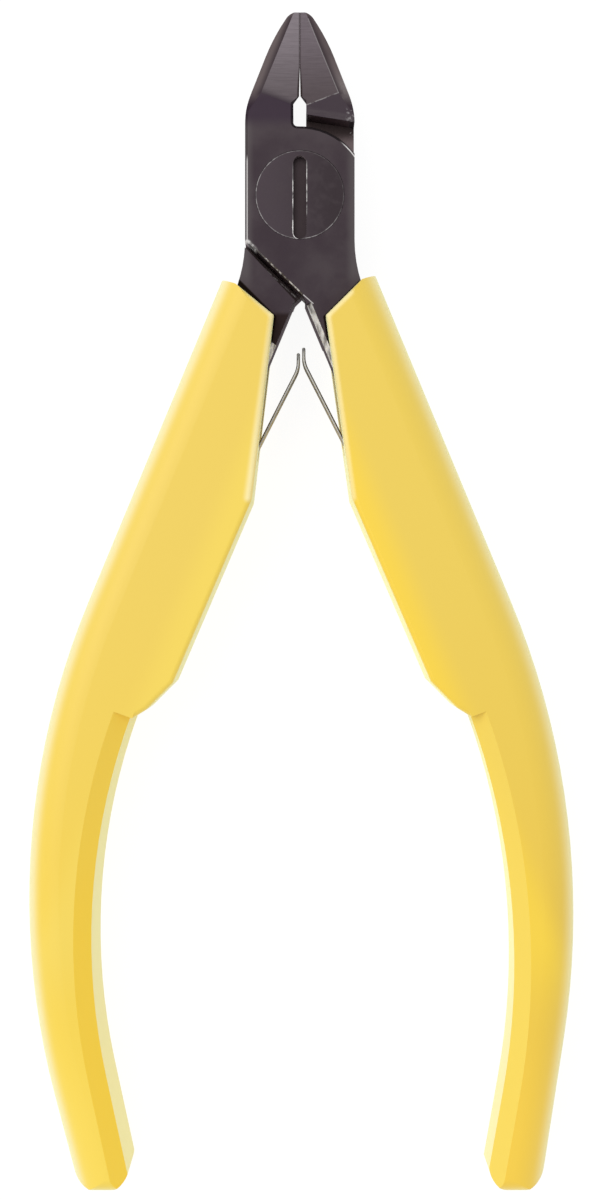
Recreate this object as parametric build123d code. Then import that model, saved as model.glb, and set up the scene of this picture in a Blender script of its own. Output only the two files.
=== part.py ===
from build123d import *
import os
from math import cos, radians, sin, sqrt, tan

os.makedirs("parts", exist_ok=True)

# Precision wire cutter, lying on its back: a pair of half-lapped steel jaws on a slotted
# pivot screw, with two moulded sleeves on the tangs and a wire return spring in each.
# +Y points to the tips, +X to the right as seen from the front, +Z out of the front.
# The origin is on the pivot axis, in the flat back face of the joint. All sizes in mm.

# Head
head_thickness = 6.0
head_half_width = 5.05
jaw_reach = 17.4
taper_start = 6.6
shoulder_radius = 8.2
flank_angle = 20.0
nose_start = 13.15
tip_half_width = 0.94
tip_corner_radius = 1.1

# Blades
facet_foot_inner = (0.7, 8.3)
facet_foot_outer = (3.57, 9.4)
front_facet_slope = 15.0
back_facet_slope = 7.0
facet_ridge_end = (0.79, 16.77)
bevel_fade = (4.75, 7.7)
edge_land = 0.3
relief_angle = 25.0
tip_gap = 0.001
light_gap = 0.13
light_gap_top = 12.0

# Throat behind the blades
throat_half_width = 0.6
throat_shoulder = 8.7
throat_peak = 9.2
throat_corner_radius = 0.4

# Half-lap joint
lap_clearance = 0.02
boss_radius = 6.35
shoulder_inner = 7.4
shoulder_drop = 0.7
diagonal_start = 4.3
diagonal_angle = 44.1
plate_edge_break = 0.25
step_start = 4.87
step_angle = 46.7

# Pivot screw
screw_head_radius = 4.08
screw_head_thickness = 1.4
screw_head_clearance = 0.04
screw_radius = 2.6
running_clearance = 0.03
thread_clearance = 0.01
slot_width = 1.22
slot_length = 7.7
slot_depth = 0.9
slot_offset = -0.23

# Handle line: the outer edge of each sleeve, straight and then bowed
handle_x = 7.6
handle_y = -8.8
handle_angle = 22.6
straight_length = 31.1

# Shank and tang
shank_width = 5.37
flare_radius = 13.0
shank_end = 20.0
tang_tail_angle = 8.8
tang_tail = 9.0
tang_width = 2.4
tang_thickness = 3.6
tang_thinning_start = -26.0
tang_thinning_end = -36.0
bevel_width = 0.45
bevel_depth = 1.0
front_bevel_start = -1.5
back_bevel_start = 2.5

# Sleeves
sleeve_thickness = 10.0
sleeve_wall = 1.55
sleeve_clearance = 0.03
top_start = -1.47
top_land = 1.45
lip_start = 0.29
lip_inset = 5.76
kink_start = 16.65
kink_inset = 10.22
nose_past_bow = 3.83
nose_inset = 10.01
step_side_past_bow = 6.97
step_side_inset = 8.72
step_foot_past_bow = 8.21
step_foot_inset = 7.83
lower_inner_angle = 20.0
outer_rounding = 3.0
inner_rounding = 0.45
chamfer_width = 1.45
chamfer_depth = 1.5
tail_drop = 13.64
tail_outer_share = 0.49
tail_inner_share = 0.38
tail_edge_rounding = 1.2
slot_end = 11.8

# Where the two sleeves differ: bow of the outer edge and lean of its straight tail,
# width of the tail's end, lean of its inner edge, how full the inner side is, how far
# that side is cut back at its front and rear edges, and how low the top sits
right_bow_radius = 75.1
right_tail_angle = 8.8
right_tail_width = 5.3
right_inner_angle = 10.1
right_fullness = -0.2
right_front_draft = 0.0
right_rear_draft = 0.25
right_setback = 0.0
left_bow_radius = 71.3
left_tail_angle = 14.8
left_tail_width = 5.2
left_inner_angle = 12.3
left_fullness = 0.2
left_front_draft = 0.37
left_rear_draft = 0.0
left_setback = 0.45
tang_bow_radius = (right_bow_radius + left_bow_radius) / 2

# Return springs
wire_radius = 0.16
leg_spacing = 1.6
spring_lean_angle = 27.0
spring_bend_radius = 2.5
spring_swing_angle = 10.0
spring_seat_clearance = 0.05
right_foot_start = 14.18
right_foot_inset = 8.34
right_tip_offset = 0.37
left_foot_start = 14.55
left_foot_inset = 8.76
left_tip_offset = 0.13

middle = head_thickness / 2
sleeve_back = middle - sleeve_thickness / 2
sleeve_front = middle + sleeve_thickness / 2
shank_inset = sleeve_wall + shank_width


def heading(angle):
    """Direction that runs down the right handle, turned outwards from -Y."""
    return Vector(sin(radians(angle)), -cos(radians(angle)))


def outward(angle):
    """Direction square to that heading, away from the middle of the tool."""
    return Vector(cos(radians(angle)), sin(radians(angle)))


handle_top = Vector(handle_x, handle_y)


def on_handle(along, inset):
    """Point beside the straight stretch of the right handle's outer edge."""
    return handle_top + heading(handle_angle) * along - outward(handle_angle) * inset


def on_bow(radius, turn, inset=0.0):
    """Point on a bow that follows the straight stretch, where it heads in by -turn."""
    return on_handle(straight_length, radius) + outward(turn) * (radius - inset)


def bow_arc(radius, start_turn, end_turn, inset=0.0):
    """Arc of a bow between two headings."""
    half_way = (start_turn + end_turn) / 2
    return ThreePointArc(
        on_bow(radius, start_turn, inset),
        on_bow(radius, half_way, inset),
        on_bow(radius, end_turn, inset),
    )


def closed_face(edges):
    return make_face(Curve() + edges)


def prism(face, low, high):
    """Solid of a plan face between two heights."""
    return extrude(Pos(0, 0, low) * face, high - low)


def shank_line(clearance):
    """Edges of the shank and tang, down the outside and back up to the shank's end."""
    side = head_half_width + clearance
    outer = sleeve_wall - clearance
    inner = sleeve_wall + tang_width + clearance
    base = on_handle(0, outer)
    corner = Vector(side, base.Y + (base.X - side) / tan(radians(handle_angle)))
    tangent = (flare_radius - clearance) * tan(radians(handle_angle) / 2)
    flare_top = corner + Vector(0, tangent)
    flare_end = corner + heading(handle_angle) * tangent
    tail = heading(-tang_tail_angle) * (tang_tail + clearance)
    outer_end = on_bow(tang_bow_radius, -tang_tail_angle, outer)
    inner_end = on_bow(tang_bow_radius, -tang_tail_angle, inner)
    return [
        TangentArc(flare_top, flare_end, tangent=(0, -1)),
        Line(flare_end, on_handle(straight_length, outer)),
        bow_arc(tang_bow_radius, handle_angle, -tang_tail_angle, outer),
        Polyline(outer_end, outer_end + tail, inner_end + tail, inner_end),
        bow_arc(tang_bow_radius, -tang_tail_angle, handle_angle, inner),
        Line(
            on_handle(straight_length, inner),
            on_handle(shank_end, shank_inset + clearance),
        ),
    ]


def half_plan():
    """Outline of the front half: left jaw, joint plate, right shank and tang."""
    flank = radians(flank_angle)
    shoulder_y = taper_start + shoulder_radius * sin(flank)
    shoulder_x = head_half_width - shoulder_radius * (1 - cos(flank))
    nose_x = shoulder_x - (nose_start - shoulder_y) * tan(flank)
    edge = -light_gap / 2
    boss_corner_y = sqrt(boss_radius**2 - head_half_width**2)
    boss_top = sqrt(boss_radius**2 - throat_half_width**2)

    lean = radians(diagonal_angle)
    diagonal_top = Vector(-head_half_width, -diagonal_start)
    inner_dir = heading(handle_angle)
    inner_point = on_handle(0, shank_inset)
    diagonal = Vector(cos(lean), -sin(lean))
    across = inner_point - diagonal_top
    travel = (across.X * inner_dir.Y - across.Y * inner_dir.X) / (
        diagonal.X * inner_dir.Y - diagonal.Y * inner_dir.X
    )
    crotch = diagonal_top + diagonal * travel

    shank = shank_line(0)
    edges = [
        Line((-tip_gap / 2, jaw_reach), (-tip_half_width, jaw_reach)),
        TangentArc(
            (-nose_x, nose_start),
            (-tip_half_width, jaw_reach),
            tangent=(sin(flank), cos(flank)),
        ),
        Line((-nose_x, nose_start), (-shoulder_x, shoulder_y)),
        TangentArc(
            (-head_half_width, taper_start), (-shoulder_x, shoulder_y), tangent=(0, 1)
        ),
        Line((-head_half_width, taper_start), diagonal_top),
        Line(diagonal_top, crotch),
        Line(crotch, on_handle(shank_end, shank_inset)),
        *shank,
        Line(shank[0] @ 0, (head_half_width, boss_corner_y)),
        ThreePointArc(
            (head_half_width, boss_corner_y),
            (boss_radius * sin(radians(24)), boss_radius * cos(radians(24))),
            (-throat_half_width, boss_top),
        ),
        Polyline(
            (-throat_half_width, boss_top),
            (-throat_half_width, throat_shoulder),
            (edge, throat_peak),
            (-tip_gap / 2, light_gap_top),
            (-tip_gap / 2, jaw_reach),
        ),
    ]
    return closed_face(edges)


def lap_region():
    """Plan of what is milled away behind the joint plate, between jaw and shank."""
    far = 3 * head_half_width
    rise = shoulder_drop / (head_half_width - throat_half_width)
    fall = tan(radians(step_angle))
    return closed_face(
        [
            Polyline(
                (-far, shoulder_inner + rise * (throat_half_width - far)),
                (far, shoulder_inner + rise * (throat_half_width + far)),
                (far, fall * (far - head_half_width) - step_start),
                (-far, -fall * (far + head_half_width) - step_start),
                close=True,
            )
        ]
    )


def thinning(clearance):
    """Wedges that thin the tang, above and below, from the shank to its end."""
    far = 2 * (straight_length + tang_bow_radius)
    high = middle + tang_thickness / 2 + clearance
    top = head_thickness + clearance
    profile = closed_face(
        [
            Polyline(
                (tang_thinning_start, top),
                (tang_thinning_end, high),
                (-far, high),
                (-far, far),
                (tang_thinning_start, far),
                close=True,
            )
        ]
    )
    above = extrude(Plane.YZ * profile, far, both=True)
    return above + mirror(above, Plane.XY.offset(middle))


def shank_bevel(top, z, side):
    """Bar that grinds a bevel on one inner edge of the shank, from a point down."""
    run = shank_end - top
    start = on_handle(top, shank_inset)
    down = heading(handle_angle)
    plane = Plane(
        origin=(start.X, start.Y, z), x_dir=outward(handle_angle), z_dir=down
    )
    section = Polyline(
        (2 * bevel_width, side * bevel_depth),
        (-bevel_width, -2 * side * bevel_depth),
        (-bevel_width, side * bevel_depth),
        close=True,
    )
    return extrude(plane * closed_face([section]), run)


def half_blank():
    """The forged half before its jaw is ground: prism, milled lap, thinned tang."""
    blank = prism(half_plan(), 0, head_thickness)
    blank -= prism(lap_region(), -middle, middle + lap_clearance / 2)
    blank -= thinning(0)
    upright = blank.edges().filter_by(Axis.Z)
    throat_corner = upright.filter_by_position(
        Axis.X, -throat_half_width - 0.01, -throat_half_width + 0.01
    ).sort_by(Axis.Y)[0]
    blank = fillet(throat_corner, throat_corner_radius)
    tip_corner = blank.edges().filter_by(Axis.Z).sort_by(Axis.Y)[-2:].sort_by(Axis.X)[0]
    blank = fillet(tip_corner, tip_corner_radius)
    front_edges = blank.faces().sort_by(Axis.Z)[-1].edges()
    plate_edges = [
        edge
        for edge in front_edges
        if (edge @ 0.5).X < 0 and (edge @ 0.5).Y < taper_start
    ]
    return chamfer(plate_edges, plate_edge_break)


def facet_planes(face_z, side, slope):
    """Two ground planes on one side of the right jaw: the blade facet and its bevel."""
    inner, outer = Vector(*facet_foot_inner), Vector(*facet_foot_outer)
    foot = (outer - inner).normalized()
    up_jaw = Vector(-foot.Y, foot.X)
    facet_normal = Vector(
        up_jaw.X * sin(radians(slope)),
        up_jaw.Y * sin(radians(slope)),
        side * cos(radians(slope)),
    )
    facet = Plane(origin=(inner.X, inner.Y, face_z), z_dir=facet_normal)
    ridge_foot = Vector(outer.X, outer.Y, face_z)
    along = Vector(*facet_ridge_end) - outer
    fall = (along.X * up_jaw.X + along.Y * up_jaw.Y) * tan(radians(slope))
    ridge = Vector(along.X, along.Y, -side * fall)
    fade = Vector(bevel_fade[0] - outer.X, bevel_fade[1] - outer.Y, 0)
    bevel_normal = fade.cross(ridge) * side
    return facet, Plane(origin=ridge_foot, z_dir=bevel_normal)


def relief_groove():
    """Wedge behind the cutting edges, from the throat hole out past the tips."""
    far = head_thickness
    slope = tan(radians(front_facet_slope))
    apex = head_thickness - edge_land
    half = (apex + far) * tan(radians(relief_angle))
    section = closed_face([Polyline((-half, -far), (half, -far), (0, apex), close=True)])
    start = (0, facet_foot_inner[1], 0)
    placed = Plane(origin=start, x_dir=(1, 0, 0), z_dir=(0, -1, 0)) * section
    return extrude(placed, jaw_reach, dir=(0, 1, -slope))


def grind_jaw(blank):
    """Ground facets, bevels and edge relief on a half whose jaw is at +X."""
    planes = facet_planes(head_thickness, 1, front_facet_slope)
    planes += facet_planes(0, -1, back_facet_slope)
    for plane in planes:
        blank = split(blank, bisect_by=plane, keep=Keep.BOTTOM)
    return blank - relief_groove()


def spring_line(foot_start, foot_inset, tip_offset):
    """Foot and corner of a right-hand spring's leg, in plan."""
    foot = on_handle(foot_start, foot_inset)
    rise = (foot.X - tip_offset) / tan(radians(spring_lean_angle))
    return foot, Vector(tip_offset, foot.Y + rise)


def return_spring(foot, corner):
    """Hairpin of round wire: two legs out of the sleeve, bent over at the tip."""
    tangent = spring_bend_radius * tan(radians(spring_lean_angle) / 2)
    leg = (foot - corner).normalized()
    bend = corner + leg * tangent
    top = corner + Vector(0, tangent)
    half = leg_spacing / 2
    high, low = Vector(0, 0, middle + half), Vector(0, 0, middle - half)
    tip = top + Vector(0, half, middle)
    path = Wire(
        [
            Line(foot + high, bend + high),
            TangentArc(bend + high, top + high, tangent=-leg),
            ThreePointArc(top + high, tip, top + low),
            TangentArc(top + low, bend + low, tangent=(0, -1, 0)),
            Line(bend + low, foot + low),
        ]
    )
    section = Plane(origin=foot + high, z_dir=-leg) * Circle(wire_radius)
    wire = sweep(section, path=path)
    for level in (high, low):
        centre = foot + level
        wire += Pos(centre.X, centre.Y, centre.Z) * Sphere(wire_radius)
    return wire


def spring_pocket(foot):
    """Room for the legs in a sleeve: a round seat that widens by the spring's swing."""
    room = wire_radius + spring_seat_clearance
    reach = right_foot_inset - lip_inset + 2 * leg_spacing
    still, swung = -spring_lean_angle, -spring_lean_angle - spring_swing_angle
    near, far = outward(-still) * room, outward(-swung) * room
    shut = Vector(sin(radians(still)), cos(radians(still))) * reach
    opened = Vector(sin(radians(swung)), cos(radians(swung))) * reach
    plan = closed_face(
        [Polyline(foot + near, foot + near + shut, foot - far + opened, foot - far, foot, close=True)]
    )
    half = leg_spacing / 2 + room
    seat = Pos(foot.X, foot.Y, middle - half) * Cylinder(
        room, 2 * half, align=(Align.CENTER, Align.CENTER, Align.MIN)
    )
    return prism(plan, middle - half, middle + half) + seat


def tang_cavity():
    """Room for the shank and tang inside a sleeve, open at the top."""
    edges = shank_line(sleeve_clearance)
    inset = shank_inset + sleeve_clearance
    top = on_handle(-shank_end, inset)
    flare_top = edges[0] @ 0
    closing = Polyline(
        on_handle(shank_end, inset), top, (flare_top.X, top.Y), flare_top
    )
    plan = closed_face([*edges, closing])
    room = prism(plan, -sleeve_clearance, head_thickness + sleeve_clearance)
    return room - thinning(sleeve_clearance)


def leg_slot():
    """Opening along the inner side of a sleeve's upper part, as deep as the shank."""
    deep = shank_inset - sleeve_wall / 3
    plan = Polyline(
        on_handle(-slot_end, deep),
        on_handle(slot_end, deep),
        on_handle(slot_end, 2 * shank_inset),
        on_handle(-slot_end, 2 * shank_inset),
        close=True,
    )
    return prism(
        closed_face([plan]), -sleeve_clearance, head_thickness + sleeve_clearance
    )


def round_corner(face, corner, radius):
    """A plan face with the corner nearest to a point rounded off."""
    return fillet(face.vertices().sort_by_distance(corner)[0], radius)


def edge_bar(path, corners):
    """Bar swept along the lower inner edge of a sleeve, to cut that edge back."""
    plane = Plane(
        origin=path @ 0,
        x_dir=outward(lower_inner_angle),
        z_dir=heading(lower_inner_angle),
    )
    section = closed_face([Polyline(*corners, close=True)])
    return sweep(plane * section, path=path)


def chamfer_corners(inset, z, side):
    """Section of the chamfer at the front or rear end of the inner side face."""
    over = chamfer_depth / 3
    slope = chamfer_depth / chamfer_width
    return [
        (inset - over, z - side * (chamfer_depth + over * slope)),
        (inset + chamfer_width + over, z + side * over * slope),
        (inset - over, z + side * over * slope),
    ]


tail_end = on_bow(right_bow_radius, -right_tail_angle).Y - tail_drop


def tail_profile():
    """Side view of a sleeve with its end rounded over, as a bar across the tool."""
    length = -2 * tail_end
    side = Rectangle(length, sleeve_thickness)
    side = Pos(tail_end + length / 2, middle) * side
    ends = side.vertices().sort_by(Axis.X)[:2]
    return extrude(Plane.YZ * fillet(ends, tail_edge_rounding), length, both=True)


def sleeve(
    bow_radius,
    tail_angle,
    tail_width,
    inner_angle,
    fullness,
    front_draft,
    rear_draft,
    setback,
):
    """Moulded sleeve of a right handle, before it is hollowed."""
    bow_end = on_bow(bow_radius, -tail_angle)
    drop = bow_end.Y - tail_end
    outer_end = Vector(bow_end.X - drop * tan(radians(tail_angle)), tail_end)
    inner_end = outer_end - Vector(tail_width, 0)
    foot = on_handle(straight_length + step_foot_past_bow, step_foot_inset + fullness)
    across = inner_end - foot
    inner_radius = across.dot(outward(-inner_angle)) / (
        1 - cos(radians(lower_inner_angle + inner_angle))
    )
    centre = foot - outward(lower_inner_angle) * inner_radius
    half_way = (lower_inner_angle - inner_angle) / 2
    inner_bow_end = centre + outward(-inner_angle) * inner_radius
    inner_corners = [
        foot,
        on_handle(straight_length + step_side_past_bow, step_side_inset + fullness),
        on_handle(straight_length + nose_past_bow, nose_inset + fullness),
        on_handle(kink_start, kink_inset + fullness),
        on_handle(lip_start, lip_inset),
        on_handle(top_start + setback, top_land),
    ]
    lower = ThreePointArc(
        foot, centre + outward(half_way) * inner_radius, inner_bow_end
    )

    far = on_bow(bow_radius, 0).X + sleeve_thickness
    above = on_handle(top_start - sleeve_thickness, 0)
    beside = on_handle(top_start + setback, -sleeve_thickness)
    outer_below = outer_end * 2 - bow_end
    inner_below = inner_end * 2 - inner_bow_end
    outer = [
        Line(above, on_handle(straight_length, 0)),
        bow_arc(bow_radius, handle_angle, -tail_angle),
        Line(bow_end, outer_below),
    ]
    outer_plan = closed_face(
        [*outer, Polyline(outer_below, (-far, outer_below.Y), (-far, above.Y), above)]
    )
    inner = Polyline(*inner_corners, beside)
    inner_plan = closed_face(
        [
            inner,
            Polyline(beside, (far, beside.Y), (far, inner_below.Y), inner_below),
            Line(inner_below, inner_bow_end),
            lower,
        ]
    )

    def rounded_prism(plan, line, radius):
        """Prism of a plan with the edges of both faces rounded along a line of it."""
        solid = prism(plan, sleeve_back, sleeve_front)
        along = [
            edge
            for edge in solid.edges().filter_by(Axis.Z, reverse=True)
            if line.distance_to(Vector((edge @ 0.5).X, (edge @ 0.5).Y)) < 0.01
        ]
        return fillet(along, radius)

    body = rounded_prism(outer_plan, Wire(outer), outer_rounding)
    body &= rounded_prism(inner_plan, inner, inner_rounding)
    lower_path = Wire([lower, Line(inner_bow_end, inner_below)])
    over = chamfer_depth / 3
    body -= edge_bar(
        lower_path,
        [
            (-over, sleeve_back - over),
            (rear_draft, sleeve_back - over),
            (front_draft, sleeve_front + over),
            (-over, sleeve_front + over),
        ],
    )
    body -= edge_bar(lower_path, chamfer_corners(front_draft, sleeve_front, 1))
    body -= edge_bar(lower_path, chamfer_corners(rear_draft, sleeve_back, -1))
    tail = outer_plan & inner_plan & Rectangle(4 * far, -2 * tail_end)
    tail = round_corner(tail, outer_end, tail_outer_share * tail_width)
    tail = round_corner(tail, inner_end, tail_inner_share * tail_width)
    return body & prism(tail, sleeve_back, sleeve_front) & tail_profile()


def place_left(solid):
    """The same piece on the left handle, mirrored across the tool."""
    return mirror(solid, Plane.YZ)


turn_over = Axis((0, 0, middle), (0, 1, 0))
front_blank = half_blank() - (
    shank_bevel(front_bevel_start, head_thickness, 1)
    + shank_bevel(back_bevel_start, 0, -1)
)
rear_blank = front_blank.rotate(turn_over, 180)

screw_seat = Pos(0, 0, head_thickness - screw_head_thickness) * Cylinder(
    screw_head_radius + screw_head_clearance,
    head_thickness,
    align=(Align.CENTER, Align.CENTER, Align.MIN),
)
running_bore = Cylinder(screw_radius + running_clearance, 3 * head_thickness)
thread_bore = Cylinder(screw_radius + thread_clearance, 3 * head_thickness)

front_half = mirror(grind_jaw(mirror(front_blank, Plane.YZ)), Plane.YZ)
front_half -= screw_seat + running_bore
rear_half = grind_jaw(rear_blank) - thread_bore

joint_screw = Cylinder(
    screw_radius, head_thickness, align=(Align.CENTER, Align.CENTER, Align.MIN)
)
joint_screw += Pos(0, 0, head_thickness - screw_head_thickness) * Cylinder(
    screw_head_radius,
    screw_head_thickness,
    align=(Align.CENTER, Align.CENTER, Align.MIN),
)
driver_slot = prism(
    Pos(0, slot_offset) * SlotOverall(slot_length, slot_width, rotation=90),
    head_thickness - slot_depth,
    head_thickness + slot_depth,
)
joint_screw -= driver_slot

right_sleeve = sleeve(
    right_bow_radius,
    right_tail_angle,
    right_tail_width,
    right_inner_angle,
    right_fullness,
    right_front_draft,
    right_rear_draft,
    right_setback,
)
left_sleeve = place_left(
    sleeve(
        left_bow_radius,
        left_tail_angle,
        left_tail_width,
        left_inner_angle,
        left_fullness,
        left_front_draft,
        left_rear_draft,
        left_setback,
    )
)

right_line = spring_line(right_foot_start, right_foot_inset, right_tip_offset)
left_line = spring_line(left_foot_start, left_foot_inset, left_tip_offset)
right_spring = return_spring(*right_line)
left_spring = place_left(return_spring(*left_line))

hollow = tang_cavity() + leg_slot()
right_sleeve -= hollow + spring_pocket(right_line[0])
left_sleeve -= place_left(hollow + spring_pocket(left_line[0]))

parts = {
    "front_half": front_half,
    "rear_half": rear_half,
    "joint_screw": joint_screw,
    "left_spring": left_spring,
    "right_spring": right_spring,
    "left_sleeve": left_sleeve,
    "right_sleeve": right_sleeve,
}
for name, shape in parts.items():
    export_step(shape, f"parts/{name}.step")
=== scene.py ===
from math import cos, radians, sin

import bpy
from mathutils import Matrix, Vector

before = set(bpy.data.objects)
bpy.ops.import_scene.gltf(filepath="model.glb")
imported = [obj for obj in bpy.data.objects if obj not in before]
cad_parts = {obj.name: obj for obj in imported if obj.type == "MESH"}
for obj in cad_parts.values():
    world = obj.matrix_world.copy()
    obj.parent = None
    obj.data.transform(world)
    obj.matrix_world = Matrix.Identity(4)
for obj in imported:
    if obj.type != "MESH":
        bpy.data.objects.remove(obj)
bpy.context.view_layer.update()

# Camera and light. The cutter lies on its back on a white table and is seen from
# straight above, from about two hand lengths, in the even light of a photo tent.
scene = bpy.context.scene
scene.view_settings.view_transform = "Standard"

middle_x, middle_y, middle_z = -0.00012, -0.03736, 0.003
view_distance = 0.210
view_height = 0.1122
film_height = 24
camera_data = bpy.data.cameras.new("camera")
camera_data.sensor_fit = "VERTICAL"
camera_data.sensor_height = film_height
camera_data.lens = film_height * view_distance / view_height
camera_data.clip_start = 0.01
camera = bpy.data.objects.new("camera", camera_data)
camera.location = (middle_x, middle_y, middle_z + view_distance)
scene.collection.objects.link(camera)
scene.camera = camera


class Value:
    """One output of a shader node, with the usual arithmetic."""

    def __init__(self, tree, socket):
        self.tree = tree
        self.socket = socket

    def node(self, kind, settings=None, inputs=None, output=0):
        """A new node in the same tree; inputs are values, numbers or colours."""
        node = self.tree.nodes.new(kind)
        for name, setting in (settings or {}).items():
            setattr(node, name, setting)
        for name, given in (inputs or {}).items():
            socket = node.inputs[name]
            if isinstance(given, Value):
                self.tree.links.new(given.socket, socket)
            else:
                socket.default_value = given
        return Value(self.tree, node.outputs[output])

    def _math(self, operation, *operands):
        return self.node(
            "ShaderNodeMath", {"operation": operation}, dict(enumerate(operands))
        )

    def __add__(self, other):
        return self._math("ADD", self, other)

    def __radd__(self, other):
        return self._math("ADD", other, self)

    def __sub__(self, other):
        return self._math("SUBTRACT", self, other)

    def __rsub__(self, other):
        return self._math("SUBTRACT", other, self)

    def __mul__(self, other):
        return self._math("MULTIPLY", self, other)

    def __rmul__(self, other):
        return self._math("MULTIPLY", other, self)

    def __abs__(self):
        return self._math("ABSOLUTE", self)

    def clamp(self, low, high):
        """This value, held between two limits."""
        return self.node("ShaderNodeClamp", inputs={0: self, 1: low, 2: high})

    def root(self):
        """Square root."""
        return self._math("SQRT", self)

    def ramp(self, low, high):
        """0 below low, 1 above high, smooth between."""
        return self.node(
            "ShaderNodeMapRange",
            {"interpolation_type": "SMOOTHSTEP"},
            {"Value": self, "From Min": low, "From Max": high},
        )

    def fade(self, low, high):
        """1 below low, 0 above high, smooth between."""
        return 1 - self.ramp(low, high)

    def band(self, low, high, soft):
        """1 between two values, fading out over soft on both sides."""
        return self.ramp(low - soft, low) * self.fade(high, high + soft)

    def between(self, start, end):
        """Colour mixed from start to end by this value."""
        return self.node(
            "ShaderNodeMix",
            {"data_type": "RGBA"},
            {0: self, 6: start, 7: end},
            output=2,
        )

    def axes(self):
        """The three numbers of a vector."""
        split = self.node("ShaderNodeSeparateXYZ", inputs={0: self})
        outputs = split.socket.node.outputs
        return [Value(self.tree, outputs[axis]) for axis in range(3)]

    def noise(self, scale, detail=3.0, squeeze=(1, 1, 1), roughness=0.5):
        """Noise over this place, about 0.5, squeezed along the axes."""
        place = self.node(
            "ShaderNodeVectorMath", {"operation": "MULTIPLY"}, {0: self, 1: squeeze}
        )
        return self.node(
            "ShaderNodeTexNoise",
            inputs={
                "Vector": place,
                "Scale": scale,
                "Detail": detail,
                "Roughness": roughness,
            },
        )

    def bump(self, height, strength):
        """Surface normals raised by this value, up to a height."""
        return self.node(
            "ShaderNodeBump",
            inputs={"Strength": strength, "Distance": height, "Height": self},
        )


def new_material(name):
    """A principled material, its surface node, the place and the facing on it."""
    material = bpy.data.materials.new(name)
    material.use_nodes = True
    surface = material.node_tree.nodes["Principled BSDF"]
    coordinates = material.node_tree.nodes.new("ShaderNodeTexCoord")
    place = Value(material.node_tree, coordinates.outputs["Object"])
    geometry = material.node_tree.nodes.new("ShaderNodeNewGeometry")
    facing = Value(material.node_tree, geometry.outputs["Normal"])
    return material, surface, place, facing


def feed(surface, **inputs):
    """Sets or links sockets of a surface; underscores stand for blanks."""
    for name, given in inputs.items():
        socket = surface.inputs[name.replace("_", " ")]
        if isinstance(given, Value):
            given.tree.links.new(given.socket, socket)
        else:
            socket.default_value = given


table_top = -0.002
air_under_tool = 0.00002
bpy.ops.mesh.primitive_plane_add(size=30, location=(0, 0, table_top - air_under_tool))
table = bpy.context.object
table.name = "table"
table_material, table_surface, _, _ = new_material("white table")
feed(table_surface, Base_Color=(0.12, 0.12, 0.12, 1), Roughness=0.9)
feed(table_surface, Emission_Color=(1, 1, 1, 1), Emission_Strength=0.92)
table.data.materials.append(table_material)

world = bpy.data.worlds.new("photo tent")
world.use_nodes = True
tent = world.node_tree.nodes["Background"]
tent.inputs["Color"].default_value = (1, 1, 1, 1)
tent.inputs["Strength"].default_value = 0.72
scene.world = world

lamp_data = bpy.data.lights.new("soft box", "AREA")
lamp_data.shape = "SQUARE"
lamp_data.size = 0.5
lamp_data.energy = 1.3
lamp = bpy.data.objects.new("soft box", lamp_data)
lamp.location = (-0.25, 0.15, 0.45)
lamp_aim = Vector((0, -0.04, 0))
lamp.rotation_euler = (lamp_aim - lamp.location).to_track_quat("-Z", "Y").to_euler()
scene.collection.objects.link(lamp)

# Steel halves. Two forgings of one shape, half lapped at the pivot, ground on the
# blades and inside the crotch and then blackened; wear has bared their sharp edges.
black = (0.047, 0.035, 0.042, 1)
worn_black = (0.07, 0.056, 0.062, 1)
edge_sheen_grey = (0.1, 0.088, 0.09, 1)
purple_black = (0.046, 0.033, 0.045, 1)
painted_shade_black = (0.02, 0.012, 0.011, 1)
pocket_lit_brown = (0.22, 0.17, 0.175, 1)
wall_brown = (0.034, 0.019, 0.022, 1)
lip_shadow = (0.008, 0.005, 0.004, 1)
ground_left_lit = (0.155, 0.13, 0.14, 1)
ground_left_tip_highlight = (0.28, 0.243, 0.265, 1)
ground_right_shaded = (0.09, 0.072, 0.077, 1)
ground_right_tip_highlight = (0.163, 0.136, 0.152, 1)
bevel_lit_grey = (0.165, 0.135, 0.135, 1)
silver = (0.72, 0.7, 0.69, 1)
filed_silver_reflection = (0.95, 0.94, 0.93, 1)

# Places in plan; those of the ridges and mouths hold for both halves, mirrored.
facet_foot = (0.0007, 0.0083)
ridge_foot = (0.00357, 0.0094)
ridge_top = (0.00079, 0.01677)
pocket_edge = ((0.0009, 0.0077), (0.0049, 0.007))
diagonal_foot = ((-0.00414, -0.00562), (-0.0002, -0.0092))
left_corner = ((-0.00488, -0.0044), (-0.0042, -0.0051))
crotch_edge = ((0.00035, -0.00925), (0.00122, -0.01002))
mouth_outside = (0.0064, -0.0073)
mouth_corner = (0.0024, -0.0113)
mouth_inside = (0.0031, -0.016)


def distance_to(place, start, end):
    """Distance in plan from each point to a straight segment."""
    x, y, _ = place.axes()
    run = Vector(end) - Vector(start)
    along = run.normalized()
    across_x, across_y = x - start[0], y - start[1]
    done = (across_x * along.x + across_y * along.y).clamp(0, run.length)
    left_x, left_y = across_x - done * along.x, across_y - done * along.y
    return (left_x * left_x + left_y * left_y).root()


def dress(node, material):
    """Gives a node of the frame one material all over."""
    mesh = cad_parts[node].data
    if not mesh.materials:
        mesh.materials.append(material)
    for index in range(len(mesh.materials)):
        mesh.materials[index] = material


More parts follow.
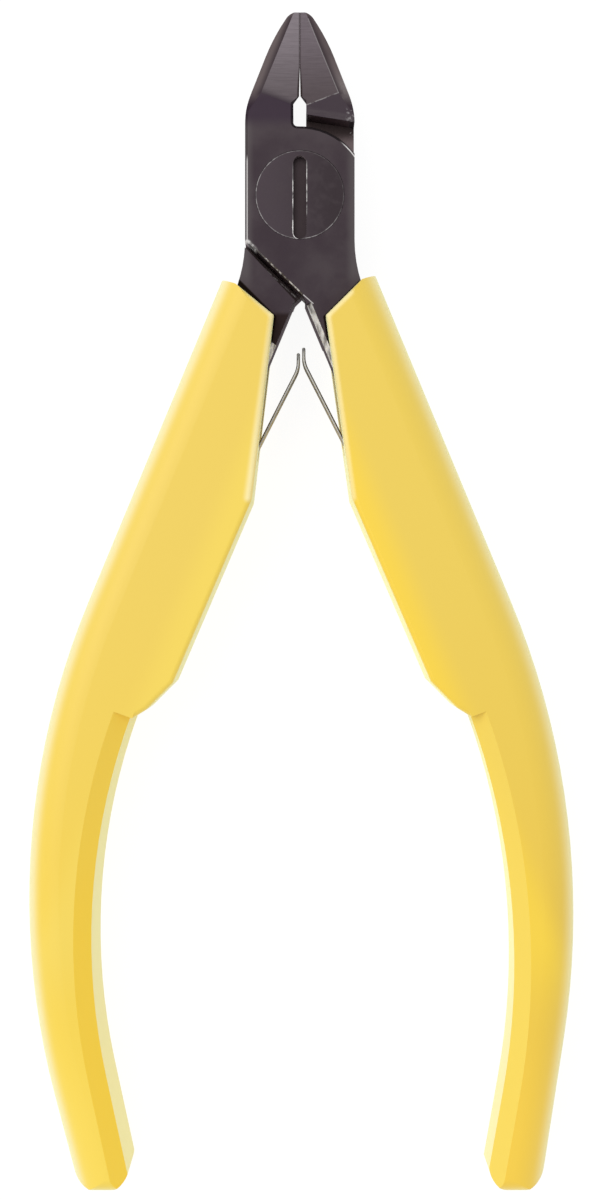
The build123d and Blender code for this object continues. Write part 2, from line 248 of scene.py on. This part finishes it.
steel, surface, place, facing = new_material("blackened steel")
x, y, z = place.axes()
_, _, tilt = facing.axes()
broad = place.noise(180, 2)
mottle = place.noise(1100, 4)
grit = place.noise(6000, 2)
nicks = place.noise(2300, 3)
strokes = place.noise(420, 4, squeeze=(1, 16, 1), roughness=0.7)
front = z.ramp(0.0031, 0.0035)
level = tilt.ramp(0.9, 0.95)
right = x.ramp(-0.0001, 0.0001)
left = 1 - right
mirrored = x.node("ShaderNodeCombineXYZ", inputs={0: abs(x), 1: y})

# The blackening: a patina, more purple at the foot of the jaws; a painted sheen makes
# the sides of the head paler, and painted shade darkens the left shank near its
# sleeve.
patina = (broad * 0.7 + mottle * 0.3 + y.ramp(-0.002, 0.006) * 0.1).ramp(0.35, 0.75)
colour = patina.between(black, worn_black)
head_side_sheen = abs(x).ramp(0.0041, 0.005) * y.band(-0.007, 0.0065, 0.002)
colour = (head_side_sheen * 0.7).between(colour, edge_sheen_grey)
jaw_foot = y.band(0.0074, 0.0088, 0.0015) * (1 - right * 0.5)
colour = jaw_foot.between(colour, purple_black)
left_shank_shade = left * y.fade(-0.0112, -0.0107) * level
colour = (left_shank_shade * 0.85).between(colour, painted_shade_black)

# The facets ground on the blades, with painted light on them: the left facet is
# painted lighter than the right, and both are painted lighter towards the tips as
# highlights. The left one comes out of the blackening softly, above a slanted foot.
above_slant = (y - 0.0083) * 0.934 - (abs(x) - 0.0007) * 0.358
facet = abs(tilt).band(0.955, 0.994, 0.003) * y.ramp(0.0076, 0.0084)
facet = facet * (right + left * above_slant.ramp(-0.0003, 0.0008)).clamp(0, 1)
toward_tip_highlight = y.ramp(0.008, 0.0165)
ground = right.between(
    toward_tip_highlight.between(ground_left_lit, ground_left_tip_highlight),
    toward_tip_highlight.between(ground_right_shaded, ground_right_tip_highlight),
)
ground = (strokes.ramp(0.35, 0.75) * 0.3).between(ground, worn_black)
colour = facet.between(colour, ground)

# The bevels outside the facets, with painted shading: darker beside the ridge between
# the two and lighter towards the outside; and painted shade beside the gap that the
# closed blades leave.
from_ridge = distance_to(mirrored, ridge_foot, ridge_top)
bevel = abs(tilt).band(0.6, 0.78, 0.03) * y.ramp(0.008, 0.0105)
bevel = bevel * (0.1 + 0.9 * from_ridge.ramp(0, 0.0007))
bevel_share = 0.8 + 0.4 * mottle - 0.25 * right * y.ramp(0.0115, 0.0135)
colour = (bevel * bevel_share).between(colour, bevel_lit_grey)
low_right = right * y.fade(0.009, 0.0125)
colour = (bevel * low_right * grit * 0.3).between(colour, silver)
from_edge = abs(x) - 0.00014 * y.fade(0.0095, 0.0125)
gap_shade = from_edge.fade(0.00004, 0.00014) * y.ramp(0.0087, 0.009)
colour = (gap_shade * (0.85 - 0.3 * y.ramp(0.0095, 0.0125))).between(colour, painted_shade_black)

# The pockets that the laps turn in: a floor darkened by painted shade, with painted
# light towards the right, a few bright flecks, brown walls, and a thin line along the
# foot of the diagonal wall.
pocket = level * z.band(0.0028, 0.0032, 0.0002)
pocket_painted_light = x.ramp(0.002, 0.0044) * y.fade(0.0052, 0.0064)
pocket_painted_light = (pocket_painted_light * 0.55 + 0.22) * (0.7 + 0.3 * mottle)
colour = pocket.between(colour, painted_shade_black)
colour = (pocket * pocket_painted_light).between(colour, pocket_lit_brown)
flecks = place.noise(3800, 2).ramp(0.56, 0.62) * x.ramp(0.0041, 0.0046)
flecks = flecks * y.band(0.0062, 0.0078, 0.0003) * tilt.ramp(0.5, 0.6)
colour = (flecks * 0.25).between(colour, silver)
upright = abs(tilt).fade(0.2, 0.4) * z.band(0.0029, 0.0058, 0.0001)
diagonal_wall = y.fade(-0.004, -0.0035) * y.ramp(-0.0098, -0.0094)
jaw_wall = right * y.band(0.0042, 0.0076, 0.0002)
pocket_wall = upright * (diagonal_wall + jaw_wall).clamp(0, 1)
pocket_wall = pocket_wall * abs(x).fade(0.0044, 0.0048)
colour = pocket_wall.between(colour, wall_brown)
wall_line = distance_to(place, *diagonal_foot).fade(0.00003, 0.00008)
wall_line = wall_line * nicks.ramp(0.35, 0.6) * pocket
colour = (wall_line * 0.3).between(colour, silver)

# The bevel filed bright inside the crotch, painted near-white as a painted reflection
# of the table and darkened by painted shade towards the crotch's vertex; the edges
# that use has bared; and thin painted highlights along the right ridge and the foot
# of the facets.
shank_bevel = tilt.band(0.36, 0.5, 0.04) * y.fade(-0.0088, -0.0084)
filed = place.noise(4200, 2, squeeze=(1, 0.1, 0.3))
shank_bevel = shank_bevel * (0.5 + 0.5 * filed.ramp(0.3, 0.6))
shank_bevel = shank_bevel * (1 - 0.8 * y.ramp(-0.0106, -0.009))
colour = shank_bevel.between(colour, filed_silver_reflection)
rim = tilt.band(0.66, 0.76, 0.03) * z.ramp(0.00586, 0.00591) * y.fade(0.0066, 0.007)
left_rim = x.fade(-0.0048, -0.0046) * y.band(-0.0046, 0.003, 0.0008) * 0.7
diagonal_rim = y.fade(-0.0044, -0.0042) * (0.2 + 0.8 * nicks.ramp(0.4, 0.6))
boss_rim = x.ramp(0.0036, 0.0044) * y.ramp(0.002, 0.003)
bared_rim = rim * (left_rim + diagonal_rim + boss_rim).clamp(0, 1)
corner = distance_to(place, *left_corner).fade(0.00014, 0.0004)
corner = corner * z.ramp(0.0044, 0.0052) * (0.25 + 0.75 * nicks.ramp(0.35, 0.55))
crotch_line = distance_to(place, *crotch_edge).fade(0.00002, 0.00007) * front
ridge_highlight = from_ridge.fade(0.00002, 0.00007) * right * front
facet_foot_highlight = distance_to(place, facet_foot, ridge_foot).fade(0.00002, 0.00008)
facet_foot_highlight = facet_foot_highlight * front * nicks.ramp(0.4, 0.6)
for bared, share in (
    (bared_rim, 1),
    (corner, 1),
    (crotch_line, 0.6),
    (ridge_highlight, 0.18),
    (facet_foot_highlight, 0.25),
):
    colour = (bared * share).between(colour, silver)

# A painted highlight along the pocket's edge, and a painted contact shadow on the
# steel beside the sleeves' mouths.
pocket_edge_highlight = distance_to(place, *pocket_edge).fade(0.0001, 0.0005) * right * front
pocket_edge_highlight = pocket_edge_highlight * strokes.ramp(0.3, 0.7) * level
colour = (pocket_edge_highlight * 0.5).between(colour, edge_sheen_grey)
for start, end in ((mouth_outside, mouth_corner), (mouth_corner, mouth_inside)):
    beside_lip = distance_to(mirrored, start, end).fade(0.00015, 0.0003) * level
    colour = beside_lip.between(colour, lip_shadow)

roughness = 0.4 + 0.12 * mottle + 0.12 * facet * strokes + 0.1 * shank_bevel
metallic = 1 - (0.95 * shank_bevel + 0.7 * bared_rim + pocket_wall).clamp(0, 1)
feed(surface, Base_Color=colour, Roughness=roughness, Metallic=metallic)
feed(surface, Specular_Tint=(0.45, 0.4, 0.42, 1))
feed(surface, Normal=(grit * 0.5 + mottle).bump(0.00002, 0.15))
dress("front_half", steel)
dress("rear_half", steel)

# Joint screw. A big flat head with a long driver slot, let in flush, of the same
# blackened steel; screwdrivers have bared the edges of its slot. The head is painted
# lighter on the left than on the right as the light falls, the slot's walls are
# painted light against their shade, and the rim carries a painted highlight.
screw_lit_left = (0.068, 0.053, 0.062, 1)
screw_shaded_right = (0.039, 0.03, 0.034, 1)
slot_floor_black = (0.045, 0.034, 0.037, 1)
slot_wall_lightened = (0.2, 0.16, 0.17, 1)
slot_foot = (0, -0.00347)
slot_head = (0, 0.00301)
burr_ends = ((-0.0006, -0.003), (-0.00055, -0.0034))
screw_steel, surface, place, facing = new_material("blackened screw")
x, y, z = place.axes()
_, _, tilt = facing.axes()
broad = place.noise(180, 2)
mottle = place.noise(1100, 4)
grit = place.noise(4500, 2)
nicks = place.noise(2300, 3)
top = z.ramp(0.0058, 0.0059)
# Painted light: the head lighter on the left, darker on the right.
side_to_side_shading = (x.ramp(-0.0035, 0.0035) * 0.7 + broad * 0.3).clamp(0, 1)
colour = side_to_side_shading.between(screw_lit_left, screw_shaded_right)
colour = (mottle.ramp(0.45, 0.7) * 0.4).between(colour, worn_black)
colour = z.fade(0.0052, 0.0055).between(colour, slot_floor_black)

slot_edge = distance_to(place, slot_foot, slot_head).band(0.00059, 0.00066, 0.00003)
bright_foot = y.fade(-0.0025, -0.0021)
bright_middle = y.band(-0.001, 0.0011, 0.0004) * 0.75
left_edge = x.fade(-0.0002, 0) * (bright_foot + bright_middle + 0.18)
left_edge = left_edge * y.fade(0.0022, 0.0032)
right_edge = x.ramp(0, 0.0002) * y.band(-0.0012, 0.0024, 0.0009) * 0.8
slot_wear = (left_edge + right_edge).clamp(0, 1) * nicks.ramp(0.25, 0.6)
colour = (slot_edge * top * slot_wear).between(colour, silver)
burr = distance_to(place, *burr_ends).fade(0.00006, 0.00013)
colour = (burr * top).between(colour, silver)
# Painted light on the slot's walls, against their shade.
slot_wall = abs(tilt).fade(0.2, 0.4) * z.ramp(0.0051, 0.0053)
colour = slot_wall.between(colour, slot_wall_lightened)
# A painted highlight along the rim, brighter at the left and bottom.
rim = (x * x + y * y).root().ramp(0.00399, 0.00402) * top
rim_highlight = 0.06 + 0.2 * (1 - x.ramp(-0.003, 0.001) * y.ramp(-0.0035, -0.001))
rim_highlight = rim_highlight * (0.35 + 0.9 * nicks.ramp(0.4, 0.6))
colour = (rim * rim_highlight).between(colour, silver)
feed(surface, Base_Color=colour, Roughness=0.4 + 0.12 * mottle)
feed(surface, Metallic=1 - slot_wall)
feed(surface, Normal=(grit * 0.5 + mottle).bump(0.00002, 0.15))
dress("joint_screw", screw_steel)

# Return springs. Thin grey music wire, one bent hairpin to each sleeve, with its foot
# held in the sleeve's slot and its free end cut off square and matt.
dark_wire = (0.4, 0.4, 0.39, 1)
light_wire = (0.52, 0.52, 0.5, 1)
wire, surface, place, facing = new_material("spring wire")
_, y, _ = place.axes()
colour = place.noise(2500, 2).between(dark_wire, light_wire)
cut_end = y.ramp(-0.0152, -0.0146)
feed(surface, Base_Color=colour, Roughness=0.42, Metallic=1 - 0.8 * cut_end)
dress("left_spring", wire)
dress("right_spring", wire)

# Sleeves. Stiff yellow moulded plastic, pushed over the tangs, satin all over. It
# deepens down the handles and is painted lighter at the tails, where less light
# falls; a painted sheen makes it paler on their round outer side, more so on the
# left, and a painted highlight runs along the lips.
sheen_cream = (0.95, 0.85, 0.5, 1)
lip_highlight_cream = (1.0, 0.88, 0.48, 1)
handle_lean = radians(22.6)
handle_top = (0.0076, -0.0088)
lip_outside = (0.0045, -0.0092)
lip_inside = (0.0047, -0.028)
for node, side, sheen_share, upper, lower, inner, chamfer, tail_lightened in (
    (
        "left_sleeve",
        -1,
        0.6,
        (0.865, 0.615, 0.085, 1),
        (0.935, 0.65, 0.045, 1),
        (0.92, 0.67, 0.083, 1),
        (1.0, 0.66, 0.012, 1),
        (0.97, 0.7, 0.075, 1),
    ),
    (
        "right_sleeve",
        1,
        0.3,
        (0.855, 0.613, 0.08, 1),
        (0.868, 0.565, 0.038, 1),
        (0.96, 0.66, 0.04, 1),
        (0.93, 0.675, 0.075, 1),
        (0.96, 0.63, 0.045, 1),
    ),
):
    plastic, surface, place, facing = new_material(node + " yellow plastic")
    x, y, z = place.axes()
    sideways, _, tilt = facing.axes()
    inset = (handle_top[0] - abs(x)) * cos(handle_lean) + (
        handle_top[1] - y
    ) * sin(handle_lean)
    down = y.fade(-0.085, -0.03) * 0.85 + place.noise(60, 2) * 0.15
    colour = down.between(upper, lower)
    thick = inset.ramp(0.0065, 0.0095) * y.band(-0.068, -0.022, 0.01)
    colour = thick.between(colour, inner)
    # Painted light: the tail end lightened where less lamp light reaches it.
    colour = y.fade(-0.088, -0.07).between(colour, tail_lightened)
    # Painted sheen: the round outer side paled towards cream, more on the left
    # sleeve.
    outer_round_sheen = tilt.band(0.35, 0.5, 0.35) * (sideways * side).ramp(0, 0.3)
    colour = (outer_round_sheen * sheen_share).between(colour, sheen_cream)
    chamfered = tilt.band(0.66, 0.74, 0.03) * y.fade(-0.048, -0.047)
    chamfered = chamfered * (sideways * -side).ramp(0.3, 0.4)
    colour = (chamfered * (1 - 0.3 * y.ramp(-0.068, -0.052))).between(colour, chamfer)
    mirrored = x.node("ShaderNodeCombineXYZ", inputs={0: x * side, 1: y})
    # A painted highlight along the lips.
    for start, end in ((lip_outside, mouth_corner), (mouth_corner, lip_inside)):
        lip_highlight = distance_to(mirrored, start, end).fade(0, 0.00065)
        lip_highlight = lip_highlight * tilt.ramp(0.25, 0.3) * 0.8
        colour = lip_highlight.between(colour, lip_highlight_cream)
    feed(surface, Base_Color=colour, Roughness=0.38 + 0.05 * place.noise(700, 3))
    feed(surface, Sheen_Weight=1.0, Sheen_Roughness=0.5)
    feed(surface, Sheen_Tint=(0.93, 1, 0.62, 1))
    feed(surface, Normal=place.noise(2500, 3).bump(0.00003, 0.06))
    dress(node, plastic)
